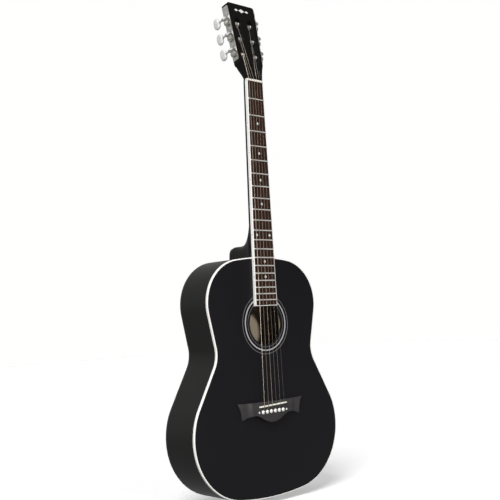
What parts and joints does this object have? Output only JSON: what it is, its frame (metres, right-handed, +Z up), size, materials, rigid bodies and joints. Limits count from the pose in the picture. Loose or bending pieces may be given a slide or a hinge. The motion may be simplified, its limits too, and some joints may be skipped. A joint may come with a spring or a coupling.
{
  "type": "acoustic guitar",
  "caption": "Slender flat-top acoustic guitar with a waisted hollow body, bound edges, round sound hole and slotted head with side-mounted worm tuners.",
  "frame": {"origin": "on the floor plane at the end pin's tip, below the middle of the body's width and of the whole depth", "axes": "+Z up along the neck, soundboard facing -Y, bass side towards -X"},
  "size_m": [0.38, 0.1115, 1.0144],
  "materials": {
    "top_finish": "satin black lacquer over spruce",
    "body_finish": "satin black lacquer over mahogany",
    "rosette_inlay": "inlaid plastic rings",
    "inner_wood": "bare mahogany",
    "brace_spruce": "bare spruce",
    "white_binding": "satin",
    "black_binding": "satin",
    "bridge_wood": "oiled dark rosewood",
    "bone": "polished bone",
    "white_plastic": "glossy",
    "pearl": "pearl inlay",
    "neck_finish": "satin black lacquer over mahogany",
    "steel": "bare",
    "fretboard_wood": "oiled rosewood",
    "fret_wire": "polished nickel silver",
    "nickel": "plated",
    "string_bronze": "bronze-wound and plain steel",
    "button_pearl": "pearloid plastic",
    "brass_gear": "machined"
  },
  "bodies": {
    "guitar": {"soundboard": "top_finish", "rosette": "rosette_inlay", "back_plate": "body_finish", "bass_side": "body_finish", "treble_side": "body_finish", "top_linings": "inner_wood", "back_linings": "inner_wood", "neck_block": "inner_wood", "tail_block": "inner_wood", "x_braces": "brace_spruce", "top_braces": "brace_spruce", "bridge_plate": "inner_wood", "back_braces": "brace_spruce", "back_strip": "inner_wood", "top_binding": "white_binding", "back_binding": "black_binding", "bridge": "bridge_wood", "saddle": "bone", "bridge_pins": "white_plastic", "bridge_dots": "pearl", "end_pin": "white_plastic", "neck_shaft": "neck_finish", "neck_heel": "neck_finish", "heel_cap": "black_binding", "headstock": "neck_finish", "head_veneer": "top_finish", "head_inlay": "pearl", "truss_rod": "steel", "fretboard": "fretboard_wood", "fretboard_binding": "white_binding", "frets": "fret_wire", "position_dots": "pearl", "side_dots": "black_binding", "nut": "bone", "tuner_plate_bass": "nickel", "tuner_plate_treble": "nickel", "plate_screws": "nickel", "strings": "string_bronze"},
    "tuner_1": {"worm_1": "nickel", "button_1": "button_pearl"},
    "reel_1": {"roller_1": "brass_gear"},
    "tuner_2": {"worm_2": "nickel", "button_2": "button_pearl"},
    "reel_2": {"roller_2": "brass_gear"},
    "tuner_3": {"worm_3": "nickel", "button_3": "button_pearl"},
    "reel_3": {"roller_3": "brass_gear"},
    "tuner_4": {"worm_4": "nickel", "button_4": "button_pearl"},
    "reel_4": {"roller_4": "brass_gear"},
    "tuner_5": {"worm_5": "nickel", "button_5": "button_pearl"},
    "reel_5": {"roller_5": "brass_gear"},
    "tuner_6": {"worm_6": "nickel", "button_6": "button_pearl"},
    "reel_6": {"roller_6": "brass_gear"}
  },
  "joints": [
    {"name": "tuner_1_turn", "type": "hinge", "parent": "guitar", "child": "tuner_1", "pos_m": [-0.03777, -0.02594, 0.91037], "axis": [0, 0.9816, -0.1908], "continuous": true},
    {"name": "reel_1_turn", "type": "hinge", "parent": "guitar", "child": "reel_1", "pos_m": [-0.03251, -0.02789, 0.90033], "axis": [0.9994, 0.0066, 0.0341], "continuous": true},
    {"name": "tuner_2_turn", "type": "hinge", "parent": "guitar", "child": "tuner_2", "pos_m": [-0.03899, -0.01927, 0.94471], "axis": [0, 0.9816, -0.1908], "continuous": true},
    {"name": "reel_2_turn", "type": "hinge", "parent": "guitar", "child": "reel_2", "pos_m": [-0.03373, -0.02122, 0.93467], "axis": [0.9994, 0.0066, 0.0341], "continuous": true},
    {"name": "tuner_3_turn", "type": "hinge", "parent": "guitar", "child": "tuner_3", "pos_m": [-0.04021, -0.01259, 0.97904], "axis": [0, 0.9816, -0.1908], "continuous": true},
    {"name": "reel_3_turn", "type": "hinge", "parent": "guitar", "child": "reel_3", "pos_m": [-0.03495, -0.01454, 0.96901], "axis": [0.9994, 0.0066, 0.0341], "continuous": true},
    {"name": "tuner_4_turn", "type": "hinge", "parent": "guitar", "child": "tuner_4", "pos_m": [0.04021, -0.01259, 0.97904], "axis": [0, 0.9816, -0.1908], "continuous": true},
    {"name": "reel_4_turn", "type": "hinge", "parent": "guitar", "child": "reel_4", "pos_m": [0.03495, -0.01454, 0.96901], "axis": [0.9994, -0.0066, -0.0341], "continuous": true},
    {"name": "tuner_5_turn", "type": "hinge", "parent": "guitar", "child": "tuner_5", "pos_m": [0.03899, -0.01927, 0.94471], "axis": [0, 0.9816, -0.1908], "continuous": true},
    {"name": "reel_5_turn", "type": "hinge", "parent": "guitar", "child": "reel_5", "pos_m": [0.03373, -0.02122, 0.93467], "axis": [0.9994, -0.0066, -0.0341], "continuous": true},
    {"name": "tuner_6_turn", "type": "hinge", "parent": "guitar", "child": "tuner_6", "pos_m": [0.03777, -0.02594, 0.91037], "axis": [0, 0.9816, -0.1908], "continuous": true},
    {"name": "reel_6_turn", "type": "hinge", "parent": "guitar", "child": "reel_6", "pos_m": [0.03251, -0.02789, 0.90033], "axis": [0.9994, -0.0066, -0.0341], "continuous": true}
  ],
  "couplings": [
    {"joint": "reel_1_turn", "follows": "tuner_1_turn", "ratio": 0.071429},
    {"joint": "reel_2_turn", "follows": "tuner_2_turn", "ratio": 0.071429},
    {"joint": "reel_3_turn", "follows": "tuner_3_turn", "ratio": 0.071429},
    {"joint": "reel_4_turn", "follows": "tuner_4_turn", "ratio": 0.071429},
    {"joint": "reel_5_turn", "follows": "tuner_5_turn", "ratio": 0.071429},
    {"joint": "reel_6_turn", "follows": "tuner_6_turn", "ratio": 0.071429}
  ]
}
